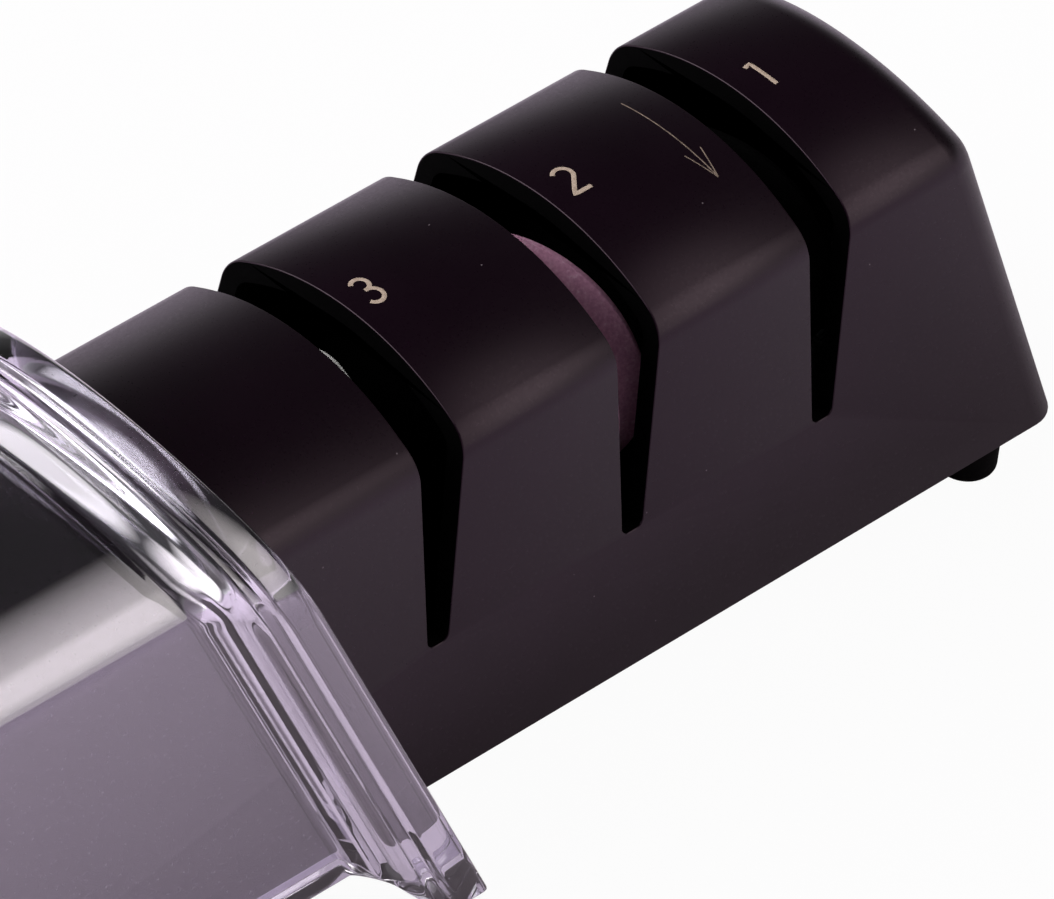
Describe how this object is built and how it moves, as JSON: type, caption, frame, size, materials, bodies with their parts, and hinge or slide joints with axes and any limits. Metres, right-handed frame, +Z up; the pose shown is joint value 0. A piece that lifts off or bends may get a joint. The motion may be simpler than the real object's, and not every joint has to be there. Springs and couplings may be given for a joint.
{
  "type": "manual knife sharpener",
  "caption": "Hand-held knife sharpener: a black arched body with numbered slots over skewed pairs of grinding wheels, and a clear flared sleeve that slides along it.",
  "frame": {"origin": "middle of the body's length and depth, on the surface the feet stand on", "axes": "+X along the body towards the leaning end with slot 1, +Z up, -Y towards the front seen in the picture"},
  "size_m": [0.21, 0.0638, 0.0651],
  "materials": {
    "housing": "satin black, fine grain",
    "end_cap": "satin black, fine grain",
    "base_plate": "dull dark grey",
    "cradle": "dull dark grey",
    "foot_rubber": "soft matt black",
    "steel": "bright turned steel",
    "collar": "off-white moulded plastic",
    "coarse_wheel": "coarse dark grit",
    "medium_wheel": "pink grit",
    "fine_wheel": "fine white grit",
    "clear_cover": "clear moulded plastic with a faint lilac tint"
  },
  "bodies": {
    "housing": {"housing_shell": "housing", "end_cap": "end_cap", "base_plate": "base_plate", "base_screws": "steel", "cradle_screws": "steel", "foot_right_front": "foot_rubber", "foot_right_back": "foot_rubber", "foot_left_front": "foot_rubber", "foot_left_back": "foot_rubber", "coarse_cradle": "cradle", "medium_cradle": "cradle", "fine_cradle": "cradle"},
    "coarse_wheels": {"coarse_axle": "steel", "coarse_collars": "collar", "coarse_wheel_left": "coarse_wheel", "coarse_wheel_right": "coarse_wheel"},
    "medium_wheels": {"medium_axle": "steel", "medium_collars": "collar", "medium_wheel_left": "medium_wheel", "medium_wheel_right": "medium_wheel"},
    "fine_wheels": {"fine_axle": "steel", "fine_collars": "collar", "fine_wheel_left": "fine_wheel", "fine_wheel_right": "fine_wheel"},
    "cover": {"clear_cover": "clear_cover"}
  },
  "joints": [
    {"name": "coarse_spin", "type": "hinge", "parent": "housing", "child": "coarse_wheels", "pos_m": [0.067, 0, 0.0348], "axis": [0.9511, 0.309, 0], "continuous": true},
    {"name": "medium_spin", "type": "hinge", "parent": "housing", "child": "medium_wheels", "pos_m": [0.039, 0, 0.0348], "axis": [0.9511, 0.309, 0], "continuous": true},
    {"name": "fine_spin", "type": "hinge", "parent": "housing", "child": "fine_wheels", "pos_m": [0.011, 0, 0.0348], "axis": [0.9511, -0.309, 0], "continuous": true},
    {"name": "cover_slide", "type": "slide", "parent": "housing", "child": "cover", "axis": [1, 0, 0], "range_m": [0, 0.095]}
  ]
}
